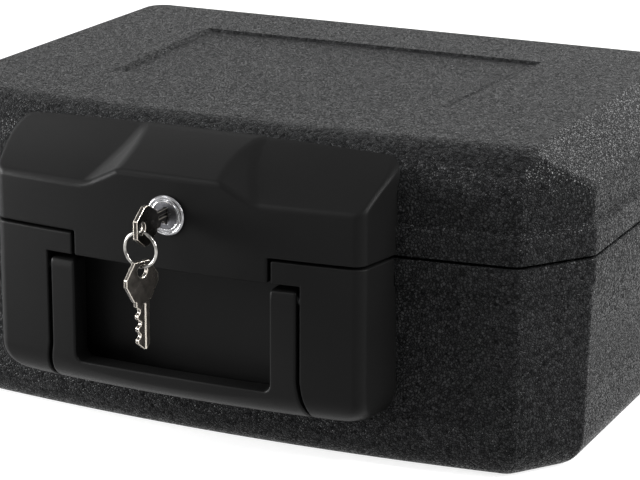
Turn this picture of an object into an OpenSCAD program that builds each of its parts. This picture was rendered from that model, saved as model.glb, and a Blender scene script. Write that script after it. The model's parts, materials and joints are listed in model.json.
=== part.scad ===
/* [Body] */
// Width of the chest at its rim
body_w = 363; // [335:1:400]
// Depth of the chest from corner to corner, without the fascia
body_d = 250; // [232:1:275]
// Height of the closed chest
body_h = 155; // [145:1:175]
// How far the front wall bows out past its corners
front_bow = 11; // [8:0.5:13]
// Width of each corner facet, along the front
corner_x = 24; // [18:1:30]
// Depth of each corner facet, along the side
corner_y = 33; // [26:1:38]
// Height of the lid, from the parting line to the top
lid_h = 51; // [49.5:0.5:53]
// Gap between the two rims
parting_gap = 1.2; // [0.8:0.1:1.6]
// Height of the band along each rim
rim_h = 14.5; // [11:0.5:17]
// How far each rim band stands out from the wall
rim_step = 1.2; // [0.6:0.1:1.8]
// How far the base wall leans in from its band to the floor
base_draft = 2.6; // [1:0.2:4]
// Radius of the edge round the underside
foot_round = 14; // [8:1:18]
// Thickness of the outer shells
shell_wall = 3; // [2:0.2:4]

/* [Lid] */
// Radius of the lid's front shoulder
front_shoulder = 22.5; // [18:0.5:26]
// Radius of the lid's back shoulder
back_shoulder = 16; // [10:1:20]
// How far each side shoulder leans in
side_bevel_in = 25; // [18:1:30]
// Height of each side shoulder
side_bevel_rise = 19; // [15:1:23]
// How far each corner facet leans in at the top
facet_in = 8; // [5:0.5:11]
// Height over which each corner facet leans in
facet_rise = 20; // [16:1:24]
// Width of the shallow panel in the top
panel_w = 234; // [200:2:260]
// Depth of the shallow panel in the top
panel_d = 112; // [90:2:130]
// How deep the top panel is sunk
panel_sink = 1; // [0.6:0.1:1.6]
// Corner radius of the top panel
panel_round = 18; // [8:1:30]
// How far the top panel sits behind the middle
panel_back = 5; // [2:1:10]

/* [Cavity] */
// Thickness of each side wall with its fill
side_wall = 29; // [23:0.5:40]
// Thickness of the front and back walls with their fill
end_wall = 29.5; // [24:0.5:36]
// Thickness of the floor with its fill
floor_t = 32; // [26:1:40]
// Thickness of the lid's roof with its fill
roof_t = 32; // [27:1:36]
// Corner radius of the inside
cavity_round = 14; // [8:1:22]
// Thickness of the inner liners
liner_wall = 2; // [1.6:0.2:2.6]
// Height of the ridge that stands on the base's rim
ridge_h = 4; // [2.5:0.5:5]
// Width of that ridge
ridge_w = 3; // [2:0.5:4]
// Play between the ridge and its groove
ridge_play = 1.3; // [1.1:0.1:1.8]

/* [Fascia] */
// How far the fascia stands out past the front corners
fascia_reach = 38; // [36:0.5:40]
// Radius of the fascia's bowed face
fascia_bow_r = 731; // [680:5:900]
// Width of the fascia at its face
fascia_w = 190; // [184:1:200]
// How much wider it is on each side where it meets the wall
fascia_flare = 6.5; // [4:0.5:9]
// Thickness of its walls
fascia_wall = 3; // [2.4:0.2:3.4]
// Radius of its upright front edges
fascia_edge = 4.5; // [3.5:0.5:6]
// Height of its underside above the floor
fascia_bottom = 26; // [23:0.5:29]
// Radius with which its face turns under
fascia_under = 18; // [14:0.5:20]
// Radius of its lower corners, seen from the front
fascia_low_round = 20; // [16:1:26]
// Radius of its upper corners, seen from the front
fascia_top_round = 14; // [10:1:18]
// Height of the visor's front edge above the parting line
visor_edge_up = 24.6; // [23:0.2:26]
// How much higher that edge is in the raised middle
visor_mid_up = 6.4; // [4.8:0.2:8]
// How far below the lid's top the visor meets the lid
visor_drop = 3.7; // [2.8:0.1:4.6]
// Bulge of the visor, as the angle between its edge and its chord
visor_bulge = 7; // [3:1:10]
// Half width of the raised middle along the visor's edge
visor_mid_half = 27.2; // [24:0.5:30]
// Half width of the raised middle with its flanks
visor_flank_half = 44.6; // [40:0.5:50]
// Half width of the raised middle where it meets the lid
visor_tip_half = 16.7; // [14:0.5:20]
// Half width of the lid's tongue between the columns
tongue_half = 50.2; // [48:0.2:51]
// How far the tongue reaches below the parting line
tongue_drop = 11.2; // [10:0.1:12]
// Gap between the tongue and the columns
tongue_gap = 1.5; // [1:0.1:2]
// Gap between the fascia's edges and the shells
seam = 0.3; // [0.25:0.05:0.5]

/* [Handle] */
// Half width of the recess for the handle
recess_half = 65.6; // [64.5:0.1:68]
// Depth of the recess behind the fascia's face
recess_d = 20; // [18.5:0.5:21]
// How far the recess and the handle widen at the foot
foot_flare = 2.2; // [0.5:0.1:3]
// Width of each arm
arm_w = 13; // [11:0.5:13.5]
// Side gap between each arm and its column
arm_gap = 1.6; // [1:0.1:2]
// How far the arms end below the tongue's edge
arm_drop = 2.8; // [2:0.1:4.3]
// Front to back thickness of the handle
handle_t = 12; // [11:0.5:12.5]
// Height of the crossbar's upper edge
grip_top_z = 40.5; // [36:0.5:41]
// Radius in the inner corners of the handle
grip_round = 4; // [2:0.5:6]
// How far the pivots lie behind the face at the arms
pivot_back = 6.8; // [6.2:0.1:7]
// Radius of the handle's pivot pins
pivot_r = 2.5; // [1.6:0.1:2.8]
// Radial running clearance of pins that turn in a bore
running = 0.05; // [0.02:0.01:0.09]
// Radial clearance of pins and screws that stay put
seated = 0.02; // [0.01:0.01:0.05]

/* [Hinge] */
// Distance of each hinge from the middle
hinge_x = 95; // [80:1:110]
// Radius of the hinge knuckles
knuckle_r = 6; // [5:0.25:7]
// Radius of the hinge pins
hinge_pin_r = 2.5; // [1.6:0.1:3]
// Width of the lid's knuckle
knuckle_lid_w = 24; // [16:1:32]
// Width of each of the base's knuckles
knuckle_base_w = 14; // [9:1:20]
// Gap between neighbouring knuckles
knuckle_gap = 0.4; // [0.3:0.05:0.8]
// Clearance between a knuckle and the other shell
knuckle_clear = 0.4; // [0.3:0.05:0.8]

/* [Lock] */
// Height of the lock's axis above the parting line
lock_up = 15; // [14.4:0.2:16]
// Radius of the lock's front ring
bezel_r = 9.5; // [9.1:0.1:10.5]
// How far the front ring stands out
bezel_t = 1.5; // [1.3:0.1:2.4]
// Radius of the lock's barrel
barrel_r = 8.2; // [7.8:0.1:8.6]
// Length of the barrel behind the fascia's face
barrel_l = 14; // [13.8:0.1:14.3]
// Radius of the turning plug
plug_r = 6.2; // [6:0.1:6.6]
// Width of the ring nut across its flats
nut_w = 20; // [19:0.5:21]
// Thickness of the ring nut
nut_t = 3.5; // [2.5:0.25:4.5]
// Thickness of the hooked cam
cam_t = 2.5; // [1.8:0.1:2.8]
// Distance of the strike pin from the lock's axis
hook_r = 21; // [20.4:0.1:21.6]
// Radius of the strike pin
strike_r = 2; // [1.5:0.1:2.4]
// Width of the lip outside the hook's slot
hook_lip = 3.7; // [3:0.1:4]
// Play between the hook's slot and the strike pin
hook_play = 0.3; // [0.25:0.05:0.5]

/* [Keys] */
// Thickness of a key
key_t = 2; // [1.6:0.1:2.1]
// Width of a key's blade
blade_w = 7.4; // [7:0.1:8.1]
// Length of a key's blade
blade_l = 23.2; // [22.8:0.1:23.3]
// How far the key's shoulder stands out from the fascia's face
key_out = 10.2; // [10.1:0.1:10.6]
// Length of a key's bow
bow_l = 18.5; // [17:0.25:20]
// Width of a key's bow
bow_w = 18.5; // [17:0.25:19.5]
// Radius of the hole in a bow
bow_hole_r = 3; // [2.7:0.1:3.2]
// Distance from the far end of a bow to the middle of its hole
bow_hole_in = 4.6; // [4.4:0.1:5.6]
// Outer diameter of the split ring
ring_d = 17.6; // [16.8:0.1:18.6]
// Thickness of the ring's wound wire
ring_wire = 1.6; // [1.2:0.1:1.8]
// Turn of the hanging key about its own length
spare_turn = 20; // [10:1:28]

/* [Fasteners] */
// Radius of the fascia screws
screw_r = 1.75; // [1.3:0.05:2.2]
// Length of the fascia screws
screw_l = 14; // [11:0.5:16]
// Radius of their heads
screw_head_r = 4; // [3:0.1:4.6]
// Radius of the bosses that take them
boss_r = 5; // [4.6:0.1:6]

/* [Hidden] */
$fn = 64;
far = 600;
fill_gap = 0.3;
touch = 0.02;
side_bulge = 4.8;
facet_bulge = 9.8;
shoulder_bulge = 40;
foot_bulge = 30;

half_w = body_w / 2;
half_d = body_d / 2;
parting_z = body_h - lid_h;
base_top = parting_z - parting_gap / 2;
lid_bottom = parting_z + parting_gap / 2;
base_ledge = parting_z - rim_h;
lid_ledge = parting_z + rim_h;
bow_half = half_w - corner_x;
bow_r = (bow_half * bow_half + front_bow * front_bow) / (2 * front_bow);
bow_y = -half_d - front_bow + bow_r;
facet_turn = atan2(corner_x, corner_y);
facet_reach = half_w * cos(facet_turn) + (half_d - corner_y) * sin(facet_turn);
front_run = 1.6 * body_d;
cavity_w = body_w - 2 * side_wall;
cavity_d = body_d - 2 * end_wall;
ceiling_z = body_h - roof_t;

// Distances of the rim's ridge from the cavity
ridge_mid = liner_wall + (side_wall - rim_step - shell_wall - liner_wall) / 2;
ridge_near = ridge_mid - ridge_w / 2;
ridge_away = ridge_mid + ridge_w / 2;
groove_h = ridge_h + 1.5 - parting_gap / 2;

face_y = -half_d - fascia_reach;
visor_edge_z = parting_z + visor_edge_up;
visor_mid_z = visor_edge_z + visor_mid_up;
visor_top_z = body_h - visor_drop;
tongue_z = parting_z - tongue_drop;
arm_top_z = tongue_z - arm_drop;
fascia_axis_y = face_y + fascia_bow_r;
column_half = tongue_half + tongue_gap;
recess_y = face_y + recess_d;
recess_floor = fascia_bottom + fascia_wall;
recess_bend = 47;
recess_foot = 33;
section_depth = 90;
section_past = 2;
rise_half = 15;
tongue_under = 8;
visor_run = fascia_reach - front_bow + rim_step + front_shoulder
    - sqrt(front_shoulder * front_shoulder - pow(front_shoulder - visor_drop, 2));
arm_out = recess_half - arm_gap;
arm_in = arm_out - arm_w;
arm_swing = pivot_back + face_at((arm_out + arm_in) / 2) - face_at(arm_in);
pivot_y = face_at((arm_out + arm_in) / 2) + pivot_back;
pivot_z = tongue_z - 0.6 - arm_swing;
pin_boss_r = pivot_r + 2.5;

hinge_y = half_d + knuckle_r + knuckle_clear;
hinge_pin_l = knuckle_lid_w + 2 * knuckle_base_w + 2 * knuckle_gap - 2;

lock_z = parting_z + lock_up;
plug_front = bezel_t - 0.4;
cam_y = barrel_l + 0.4;
stud_r = 4.2;
stud_flat = 6;
strike_z = lock_z - hook_r;
strike_t = 2;
slot_half = strike_r + hook_play;
cam_r = hook_r + slot_half + hook_lip;
keyway_end = blade_l - key_out + 0.3;
wafer_w = key_t + 3.2;
wafer_h = 2 * sqrt(pow(plug_r - 0.3, 2) - pow(wafer_w / 2 + 0.05, 2)) - 0.1;
wafer_step = 2.4;

// Cuts of the keys, each as shares of the blade's length and width
bitting = [[0.11, 0], [0.17, 0.27], [0.24, 0.27], [0.3, 0.08], [0.36, 0.08], [0.42, 0.35], [0.48, 0.35],
           [0.55, 0.12], [0.61, 0.12], [0.67, 0.3], [0.73, 0.3], [0.79, 0.1], [0.86, 0.1]];
ring_y = face_y - key_out - bow_l + bow_hole_in;
ring_r = (ring_d - ring_wire) / 2;
ring_top_z = lock_z - bow_hole_r + ring_wire / 2 + 0.3;
ring_z = ring_top_z - ring_r;
spare_hole_z = ring_z - ring_r + ring_wire / 2 + 0.3 - bow_hole_r;

lid_screw_x = 78;
lid_screw_up = 9.5;
lid_screw_pitch = 18;
lid_screw_low = parting_z + lid_screw_up;
lid_screw_high = lid_screw_low + lid_screw_pitch;
base_screw_x = 82;
base_screw_low = 47;
base_screw_drop = 8.5;
base_screw_high = parting_z - base_screw_drop;
lid_screws = [for (x = [-lid_screw_x, lid_screw_x], z = [lid_screw_low, lid_screw_high]) [x, z]];
base_screws = [for (x = [-base_screw_x, base_screw_x], z = [base_screw_low, base_screw_high]) [x, z]];
strike_screw_x = 9;
strike_screw_r = 1.5;
strike_head_r = 2.8;

// Front face of the fascia at a distance x from the middle
function face_at(x) = fascia_axis_y - sqrt(fascia_bow_r * fascia_bow_r - x * x);
// Rim band of the front wall at a distance x from the middle
function band_at(x) = bow_y - sqrt(bow_r * bow_r - x * x);
// Inside of the front wall at a distance x from the middle and a height z
function inner_at(x, z) = band_at(x) + rim_step + shell_wall + base_draft * max(0, 1 - z / base_ledge);

// Rounded rectangle about the origin
module round_rect(w, h, r) {
    square([w - 2 * r, h], center = true);
    square([w, h - 2 * r], center = true);
    for (sx = [-1, 1], sy = [-1, 1]) translate([sx * (w / 2 - r), sy * (h / 2 - r)]) circle(r);
}

// Section of the base's wall, with step to set each wall's bends at a height of its own
module base_section(start, reach, inset, floor_h, band, step) {
    bend = foot_round + step;
    rise = bend - inset;
    run = 0.85 * rise;
    wall = reach - rim_step - inset;
    ledge = base_ledge + step;
    low = wall - base_draft * (1 - bend / ledge);
    under = floor_h - 0.5 - step;
    high = parting_z + 20 + step;
    r = sqrt(rise * rise + run * run) / (2 * sin(foot_bulge));
    lean = atan2(run, rise) - foot_bulge;
    cx = low - r * cos(lean);
    cz = bend + r * sin(lean);
    intersection() {
        polygon([[start, under], [wall - base_draft * (1 - under / ledge), under], [wall, ledge],
                 [wall, high], [start, high]]);
        union() {
            translate([start, bend + 1]) square([wall + 5 - start, high]);
            translate([start, cz - r]) square([cx - start, high]);
            translate([cx, cz]) circle(r, $fn = 128);
        }
    }
    if (band) polygon([[wall - 1, ledge - 0.5], [wall + rim_step, ledge + rim_step],
                       [wall + rim_step, high], [wall - 1, high]]);
}

// Section of the lid's wall from the distance start out, with its rim band and shoulder
module lid_section(start, reach, inset, crown, band, bend_in, bend_rise, bulge) {
    wall = reach - rim_step - inset;
    bend_z = crown - bend_rise;
    low = parting_z - 20;
    r = sqrt(bend_in * bend_in + bend_rise * bend_rise) / (2 * sin(bulge));
    lean = atan2(bend_in, bend_rise) - bulge;
    cx = wall - r * cos(lean);
    cz = bend_z - r * sin(lean);
    intersection() {
        translate([start, low]) square([wall - start, cz + r - low]);
        union() {
            translate([start, low]) square([wall + 5 - start, bend_z - 1 - low]);
            translate([start, low]) square([cx - start, cz + r - low]);
            translate([cx, cz]) circle(r, $fn = 128);
        }
    }
    if (band) polygon([[wall - 1, low], [wall + rim_step, low], [wall + rim_step, lid_ledge - rim_step],
                       [wall - 1, lid_ledge + 1]]);
}

// Turns a section about the axis of the bowed front
module as_front() {
    translate([0, bow_y, 0]) rotate_extrude($fn = 256) children();
}

// Runs a section along X as the back wall
module as_back() {
    rotate([90, 0, 90]) linear_extrude(far, center = true) children();
}

// Runs a section along both sides, turned about the upright axis
module as_sides(turn) {
    rotate([0, 0, turn]) rotate([90, 0, 0]) linear_extrude(far, center = true) {
        children();
        mirror([1, 0]) children();
    }
}

// Body of the base, inset from its walls, with its floor and top at the given heights
module base_form(inset, floor_h, band, top) {
    intersection() {
        as_front() base_section(bow_r - front_run, bow_r, inset, floor_h, band, 0);
        as_back() base_section(-far / 2, half_d, inset, floor_h, band, 0.1);
        as_sides(0) base_section(-1, half_w, inset, floor_h, band, 0.2);
        as_sides(facet_turn) base_section(-1, facet_reach, inset, floor_h, band, 0.3);
        as_sides(-facet_turn) base_section(-1, facet_reach, inset, floor_h, band, 0.35);
        translate([-far / 2, -far / 2, floor_h]) cube([far, far, top - floor_h]);
    }
}

// Body of the lid, inset from its walls, with its bottom and crown at the given heights
module lid_form(inset, crown, band, bottom) {
    front = front_shoulder - inset;
    back = back_shoulder - inset;
    intersection() {
        as_front() lid_section(bow_r - front_run, bow_r, inset, crown, band, front, front, shoulder_bulge);
        as_back() lid_section(-far / 2, half_d, inset, crown, band, back, back, shoulder_bulge);
        as_sides(0) lid_section(-1, half_w, inset, crown, band, side_bevel_in, side_bevel_rise, side_bulge);
        as_sides(facet_turn)
            lid_section(-1, facet_reach, inset, crown, band, facet_in, facet_rise, facet_bulge);
        as_sides(-facet_turn)
            lid_section(-1, facet_reach, inset, crown, band, facet_in, facet_rise, facet_bulge);
        translate([-far / 2, -far / 2, bottom]) cube([far, far, crown - bottom]);
    }
}

// Outline of the inside, grown by g
module cavity_outline(g) {
    round_rect(cavity_w + 2 * g, cavity_d + 2 * g, cavity_round + g);
}

// Ring along the rim's ridge, grown by g on both sides
module ridge_outline(g) {
    difference() {
        cavity_outline(ridge_away + g);
        cavity_outline(ridge_near - g);
    }
}

// Block that the base's liner fills, grown by g
module base_tub(g) {
    translate([0, 0, floor_t - liner_wall - g]) linear_extrude(far / 4) cavity_outline(liner_wall + g);
}

// Block that the lid's liner fills, grown by g
module lid_tub(g) {
    translate([0, 0, lid_bottom - 1]) {
        linear_extrude(ceiling_z + liner_wall + g - lid_bottom + 1) cavity_outline(liner_wall + g);
        linear_extrude(groove_h + liner_wall + g + 1) ridge_outline(ridge_play + liner_wall + g);
    }
}

// Side view of a knuckle on the wall; up is 1 for the lid and -1 for the base
module knuckle_view(up) {
    edge = parting_z + up * parting_gap / 2;
    diag = knuckle_r * cos(45);
    translate([hinge_y, parting_z]) circle(knuckle_r);
    polygon([[half_d - rim_step - 1, edge], [hinge_y, edge], [hinge_y + diag, parting_z + up * diag],
             [half_d - rim_step - 1, parting_z + up * (rim_h - 1)]]);
}

// One knuckle of width w with a bore of radius r
module knuckle(w, up, r) {
    difference() {
        rotate([90, 0, 90]) linear_extrude(w, center = true) knuckle_view(up);
        translate([0, hinge_y, parting_z]) rotate([0, 90, 0]) cylinder(r = r, h = w + 1, center = true);
    }
}

// Fascia screw from the inside of the front wall
module wall_screw(x, z) {
    translate([x, inner_at(x, z) + 0.5, z]) {
        rotate([90, 0, 0]) cylinder(r = screw_r, h = screw_l);
        rotate([-90, 0, 0]) cylinder(r = screw_head_r, h = 2.2);
    }
}

// Bore for that screw
module wall_screw_bore(x, z) {
    translate([x, inner_at(x, z) + 1, z]) rotate([90, 0, 0]) cylinder(r = screw_r + seated, h = screw_l + 1);
}

// Room for its head in the insulation
module wall_screw_room(x, z) {
    translate([x, inner_at(x, z) - 2, z]) rotate([-90, 0, 0]) cylinder(r = screw_head_r + 0.5, h = 6);
}

// Boss that takes it in the fascia
module wall_screw_boss(x, z) {
    translate([x, band_at(x) + 8, z]) rotate([90, 0, 0]) cylinder(r = boss_r, h = 34);
}

// Plan of the fascia, inset by g, wider at the wall than at the face
module fascia_plan(g) {
    hw = fascia_w / 2 - g;
    y0 = face_at(fascia_w / 2) + g;
    side = atan2(fascia_flare, -half_d - y0);
    front = asin(hw / fascia_bow_r);
    e = max(fascia_edge - g, 1);
    cx = hw - e * (cos(front) - sin(side)) / cos(side + front);
    cy = y0 + e * (cos(side) - sin(front)) / cos(side + front);
    half = [[-1, 0], [hw - y0 * tan(side), 0], [cx + e * cos(side), cy - e * sin(side)], [cx, cy],
            [cx + e * sin(front), cy - e * cos(front)], [cx + e * sin(front), y0 - 20], [-1, y0 - 20]];
    for (m = [0, 1]) mirror([m, 0]) {
        polygon(half);
        translate([cx, cy]) circle(e);
    }
}

// Front view of the fascia's outline between two heights, inset by g
module fascia_view(g, bottom, top) {
    hw = fascia_w / 2 + fascia_flare - g;
    low = fascia_low_round - g;
    high = fascia_top_round - g;
    sill = fascia_bottom + g;
    crown = visor_top_z + 0.7 - g;
    intersection() {
        union() {
            translate([-hw, sill + low]) square([2 * hw, crown - sill - low - high]);
            translate([-hw + low, sill]) square([2 * (hw - low), 60]);
            translate([-hw + high, crown - 60]) square([2 * (hw - high), 60]);
            for (s = [-1, 1]) translate([s * (hw - low), sill + low]) circle(low, $fn = 96);
            for (s = [-1, 1]) translate([s * (hw - high), crown - high]) circle(high, $fn = 96);
        }
        translate([-far / 2, bottom]) square([far, top - bottom]);
    }
}

// Section of the fascia's face with its rounded foot, inset by g
module low_section(g) {
    r = fascia_bow_r - g;
    u = fascia_under - g;
    sill = fascia_bottom + g;
    translate([r - section_depth, sill]) square([section_depth - u, section_depth]);
    translate([r - section_depth, sill + u]) square([section_depth, section_depth]);
    translate([r - u, sill + u]) circle(u, $fn = 96);
}

// Section under the visor with its edge at the height edge_z, inset by g and drawn out past the face
module visor_section(g, edge_z) {
    reach = fascia_bow_r - g;
    rise = visor_top_z - edge_z;
    r = sqrt(visor_run * visor_run + rise * rise) / (2 * sin(visor_bulge));
    lean = atan2(visor_run, rise) - visor_bulge;
    low = tongue_z - tongue_under;
    translate([reach - section_depth, low])
        square([section_depth + section_past, edge_z - g - section_past - low]);
    intersection() {
        translate([reach - r * cos(lean), edge_z - g - r * sin(lean)]) circle(r, $fn = 128);
        translate([reach - section_depth, edge_z - g - 2 * section_past])
            square([section_depth + 5 * section_past, section_depth]);
    }
}

// Space below the sloping right flank of the visor's raised middle
module under_flank() {
    a = [visor_flank_half - visor_mid_half, 0, visor_edge_z - visor_mid_z];
    b = [visor_tip_half - visor_mid_half, visor_run, visor_top_z - visor_mid_z];
    n = cross(a, b);
    translate([visor_mid_half, face_y, visor_mid_z])
        rotate([0, acos(n[2] / norm(n)), atan2(n[1], n[0])])
        translate([-far / 4, -far / 4, -far / 4]) cube([far / 2, far / 2, far / 4]);
}

// Space below both flanks
module visor_roof() {
    intersection() {
        under_flank();
        mirror([1, 0, 0]) under_flank();
    }
}

// Turns a section about the axis of the fascia's bow
module as_face() {
    translate([0, fascia_axis_y, 0]) rotate_extrude($fn = 256) children();
}

// Runs a front view from front to back
module as_view() {
    rotate([90, 0, 0]) linear_extrude(far, center = true) children();
}

// Closed body of the lid's fascia, inset by g
module lid_fascia_form(g) {
    bottom = lid_bottom + g;
    intersection() {
        as_face() intersection() {
            visor_section(g, visor_mid_z);
            translate([fascia_bow_r - section_depth + 10, tongue_z - tongue_under + 2])
                square([section_depth - 10 - g, section_depth]);
        }
        union() {
            as_face() visor_section(g, visor_edge_z);
            if (g == 0) visor_roof();
            else translate([-rise_half, face_y - 5, lid_bottom]) cube([2 * rise_half, far / 4, far / 4]);
        }
        linear_extrude(far) fascia_plan(g);
        as_view() {
            fascia_view(g, bottom, far / 2);
            translate([-tongue_half + g, tongue_z - g]) square([2 * (tongue_half - g), bottom - tongue_z + g + 1]);
        }
    }
}

// Closed body of the base's fascia, inset by g
module base_fascia_form(g) {
    intersection() {
        as_face() low_section(g);
        linear_extrude(far) fascia_plan(g);
        as_view() fascia_view(g, fascia_bottom, base_top - g);
    }
}

// Front view of the handle's recess, grown by g
module recess_view(g) {
    h = recess_half + g;
    f = foot_flare;
    polygon([[-h, tongue_z + g], [-h, recess_bend], [-h - f, recess_foot], [-h - f, 0], [h + f, 0],
             [h + f, recess_foot], [h, recess_bend], [h, tongue_z + g]]);
    translate([-column_half - g, grip_top_z + 20]) square([2 * (column_half + g), far]);
}

// Front view of the handle
module handle_view() {
    f = foot_flare;
    difference() {
        polygon([[-arm_out, arm_top_z], [-arm_out, recess_bend], [-arm_out - f, recess_foot],
                 [-arm_out - f, 0], [arm_out + f, 0], [arm_out + f, recess_foot],
                 [arm_out, recess_bend], [arm_out, arm_top_z]]);
        translate([-arm_in, grip_top_z + grip_round]) square([2 * arm_in, far]);
        translate([-arm_in + grip_round, grip_top_z]) square([2 * (arm_in - grip_round), far]);
        for (s = [-1, 1])
            translate([s * (arm_in - grip_round), grip_top_z + grip_round]) circle(grip_round);
    }
}

// Outline of a key with its shoulder at the origin, the blade along +X
module key_outline() {
    w = bow_w / 2;
    b = blade_w / 2;
    difference() {
        union() {
            polygon([[-bow_l, -0.45 * w], [-0.6 * bow_l, -w], [-0.42 * bow_l, -w], [0, -b - 1.2],
                     [0, b + 1.2], [-0.42 * bow_l, w], [-0.6 * bow_l, w], [-bow_l, 0.45 * w]]);
            polygon(concat([[-1, -b]], [for (c = bitting) [c[0] * blade_l, c[1] * blade_w - b]],
                           [[blade_l, 0.12 * blade_w], [blade_l, 0.26 * blade_w], [0.9 * blade_l, b], [-1, b]]));
        }
        translate([-bow_l + bow_hole_in, 0]) circle(bow_hole_r);
    }
}

// One key with a groove along each side of its blade
module key_body() {
    difference() {
        linear_extrude(key_t, center = true) key_outline();
        for (s = [-1, 1]) translate([1.5, blade_w / 2 - 3.6, s * (key_t / 2 - 0.5) - (s < 0 ? 1 : 0)])
            cube([blade_l, 1.5, 1]);
    }
}

// Puts a shape that is built along Z on the lock's axis, its origin at the fascia's face
module on_lock() {
    translate([0, face_y, lock_z]) rotate([-90, 0, 0]) children();
}

// Outer shell of the base with the hinges' lower knuckles
module base_shell() {
    color([0.10, 0.10, 0.11]) {
        difference() {
            base_form(0, 0, true, base_top);
            base_form(shell_wall, shell_wall, false, base_top + 1);
            for (p = base_screws) wall_screw_bore(p[0], p[1]);
            for (s = [-1, 1]) translate([s * strike_screw_x, recess_y, strike_z]) rotate([-90, 0, 0])
                cylinder(r = strike_screw_r + seated, h = 20);
        }
        for (s = [-1, 1], t = [-1, 1])
            translate([s * hinge_x + t * (knuckle_lid_w / 2 + knuckle_gap + knuckle_base_w / 2), 0, 0])
                knuckle(knuckle_base_w, -1, hinge_pin_r + seated);
    }
}

// Cast fill of the base
module base_insulation() {
    color([0.72, 0.70, 0.66]) difference() {
        base_form(shell_wall + fill_gap, shell_wall + fill_gap, false, base_top - liner_wall - fill_gap);
        base_tub(fill_gap);
        for (p = base_screws) wall_screw_room(p[0], p[1]);
        for (s = [-1, 1]) translate([s * strike_screw_x, band_at(0), strike_z]) rotate([-90, 0, 0])
            cylinder(r = 2.5, h = 12);
    }
}

// Inner tub of the base with its flange and the ridge round its rim
module base_liner() {
    color([0.13, 0.13, 0.14]) difference() {
        union() {
            intersection() {
                base_tub(0);
                translate([-far / 2, -far / 2, 0]) cube([far, far, base_top]);
            }
            difference() {
                base_form(shell_wall + fill_gap, shell_wall + fill_gap, false, base_top);
                translate([-far / 2, -far / 2, -1]) cube([far, far, base_top - liner_wall + 1]);
            }
            translate([0, 0, base_top - 1]) linear_extrude(ridge_h + 1) ridge_outline(0);
        }
        translate([0, 0, floor_t]) linear_extrude(far / 4) cavity_outline(0);
    }
}

// Front fascia of the base with its columns and the recess for the handle
module base_fascia() {
    color([0.07, 0.07, 0.08]) difference() {
        union() {
            difference() {
                base_fascia_form(0);
                base_fascia_form(fascia_wall);
            }
            intersection() {
                base_fascia_form(0);
                union() {
                    intersection() {
                        as_view() recess_view(fascia_wall);
                        translate([-far / 2, -far / 2, 0]) cube([far, far / 2 + recess_y + fascia_wall, far]);
                    }
                    for (p = base_screws) wall_screw_boss(p[0], p[1]);
                    for (s = [-1, 1]) translate([s * (recess_half + 4), pivot_y, pivot_z]) rotate([0, 90, 0])
                        cylinder(r = pin_boss_r, h = 8, center = true);
                }
            }
        }
        intersection() {
            as_view() recess_view(0);
            translate([-far / 2, -far / 2, recess_floor]) cube([far, far / 2 + recess_y, far]);
        }
        intersection() {
            as_view() recess_view(0);
            as_face() translate([fascia_bow_r - handle_t - 1, 0]) square([40, recess_floor + 1]);
            translate([-far / 2, -far / 2, 0]) cube([far, far / 2, far]);
        }
        base_form(-seam, -seam, true, base_top + 1);
        for (p = base_screws) wall_screw_bore(p[0], p[1]);
        for (s = [-1, 1]) translate([s * strike_screw_x, recess_y - 1, strike_z]) rotate([-90, 0, 0])
            cylinder(r = strike_screw_r + 0.3, h = 20);
        for (s = [-1, 1]) translate([s * (recess_half + 3), pivot_y, pivot_z]) rotate([0, 90, 0])
            cylinder(r = pivot_r + seated, h = 8, center = true);
    }
}

// Screws that hold the base's fascia
module base_fascia_screws() {
    color([0.55, 0.56, 0.58]) for (p = base_screws) wall_screw(p[0], p[1]);
}

// Strike plate with the pin that the cam hooks
module strike_plate() {
    color([0.60, 0.61, 0.63]) translate([0, recess_y - touch, strike_z]) rotate([90, 0, 0]) difference() {
        union() {
            linear_extrude(strike_t) round_rect(28, 9, 2);
            cylinder(r = strike_r, h = recess_d - barrel_l + 1.2);
        }
        for (s = [-1, 1]) translate([s * strike_screw_x, 0, -1]) cylinder(r = strike_screw_r + seated, h = 4);
        for (s = [-1, 1])
            translate([s * strike_screw_x, 0, strike_t - 1.2]) cylinder(r = strike_head_r + seated, h = 2);
    }
}

// Screws that anchor the strike plate in the base's shell
module strike_screws() {
    color([0.55, 0.56, 0.58]) for (s = [-1, 1])
        translate([s * strike_screw_x, recess_y - touch - strike_t + 0.2, strike_z]) rotate([-90, 0, 0]) {
            cylinder(r = strike_head_r, h = 1);
            cylinder(r = strike_screw_r, h = 12);
        }
}

// Pins of the two hinges
module hinge_pins() {
    color([0.60, 0.61, 0.63]) for (s = [-1, 1]) translate([s * hinge_x, hinge_y, parting_z])
        rotate([0, 90, 0]) cylinder(r = hinge_pin_r, h = hinge_pin_l, center = true);
}

// Pins on which the handle turns
module handle_pins() {
    color([0.60, 0.61, 0.63]) for (s = [-1, 1])
        translate([s * (arm_in + 2.5), pivot_y, pivot_z]) rotate([0, s * 90, 0])
            cylinder(r = pivot_r, h = recess_half + 6.4 - arm_in - 2.5);
}

// Carrying handle, flush with the fascia
module carry_handle() {
    color([0.07, 0.07, 0.08]) difference() {
        intersection() {
            as_view() handle_view();
            as_face() difference() {
                low_section(0);
                square([fascia_bow_r - handle_t, far]);
            }
            rotate([90, 0, 90]) linear_extrude(far, center = true) {
                translate([-far, 0]) square([far, pivot_z]);
                translate([pivot_y, pivot_z]) circle(arm_swing, $fn = 96);
            }
        }
        for (s = [-1, 1]) translate([s * (arm_in + 2), pivot_y, pivot_z]) rotate([0, s * 90, 0])
            cylinder(r = pivot_r + running, h = arm_w);
    }
}

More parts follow.
